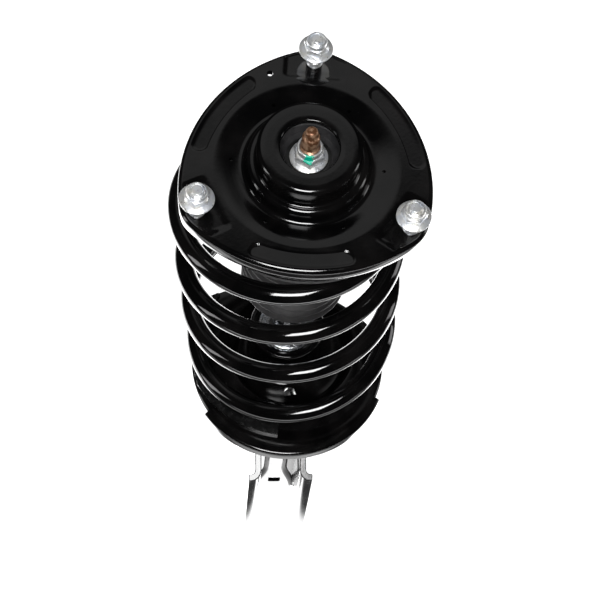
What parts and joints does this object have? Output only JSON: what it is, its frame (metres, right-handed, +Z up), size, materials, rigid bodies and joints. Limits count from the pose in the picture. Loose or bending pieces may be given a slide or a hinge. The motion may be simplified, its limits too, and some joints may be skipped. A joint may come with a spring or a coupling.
{
  "type": "strut assembly",
  "caption": "Loaded suspension strut: rubber mount with studs and bearing, coil spring, dust boot, damper, lower spring seat and clamp-type knuckle bracket.",
  "frame": {"origin": "on the strut's axis, at the mount plate's top face where it meets the body's strut tower", "axes": "+Z up the piston rod, and -Y the way the knuckle bracket's ears point"},
  "size_m": [0.1643, 0.1751, 0.53],
  "materials": {
    "black_paint": "gloss",
    "spring_coat": "gloss",
    "zinc_plate": "bright zinc plate",
    "plain_steel": "machined",
    "chromed_rod": "ground and chromed",
    "rubber": "moulded, matte",
    "foam_urethane": "microcellular",
    "sintered_iron": "sintered",
    "slide_polymer": "moulded"
  },
  "bodies": {
    "mount": {"mount_plate": "black_paint", "mount_pan": "black_paint", "insulator_core": "plain_steel", "insulator_rubber": "rubber", "mount_studs": "zinc_plate", "stud_nuts": "zinc_plate", "rod_washer": "zinc_plate", "rod_nut": "zinc_plate", "bump_stop_cup": "plain_steel", "piston_rod": "chromed_rod", "bump_stop": "foam_urethane", "rebound_stop": "plain_steel", "piston_valve_discs": "plain_steel", "piston": "sintered_iron", "piston_band": "slide_polymer", "piston_nut": "plain_steel", "bearing_upper_race": "plain_steel"},
    "bearing_cage_set": {"bearing_cage": "slide_polymer", "bearing_balls": "plain_steel"},
    "turntable": {"bearing_lower_race": "plain_steel", "upper_spring_seat": "black_paint", "upper_spring_isolator": "rubber", "dust_boot": "rubber", "coil_spring": "spring_coat"},
    "strut_body": {"strut_tube": "black_paint", "tube_cap": "zinc_plate", "rod_seal": "rubber", "rod_guide": "sintered_iron", "inner_cylinder": "plain_steel", "base_valve": "sintered_iron", "tube_base": "black_paint", "lower_spring_seat": "black_paint", "lower_spring_isolator": "rubber", "knuckle_bracket": "black_paint", "bracket_front_plate": "black_paint"}
  },
  "joints": [
    {"name": "steer_swivel", "type": "hinge", "parent": "mount", "child": "turntable", "pos_m": [0, 0, -0.0115], "axis": [0, 0, 1], "range_deg": [-40, 40]},
    {"name": "cage_roll", "type": "hinge", "parent": "mount", "child": "bearing_cage_set", "pos_m": [0, 0, -0.0115], "axis": [0, 0, 1], "range_deg": [-20, 20]},
    {"name": "suspension_travel", "type": "slide", "parent": "turntable", "child": "strut_body", "axis": [0, 0, 1], "range_m": [0, 0.14], "stiffness_N_per_m": 22000, "deforming": ["coil_spring", "dust_boot"]}
  ],
  "couplings": [
    {"joint": "cage_roll", "follows": "steer_swivel", "ratio": 0.5}
  ]
}
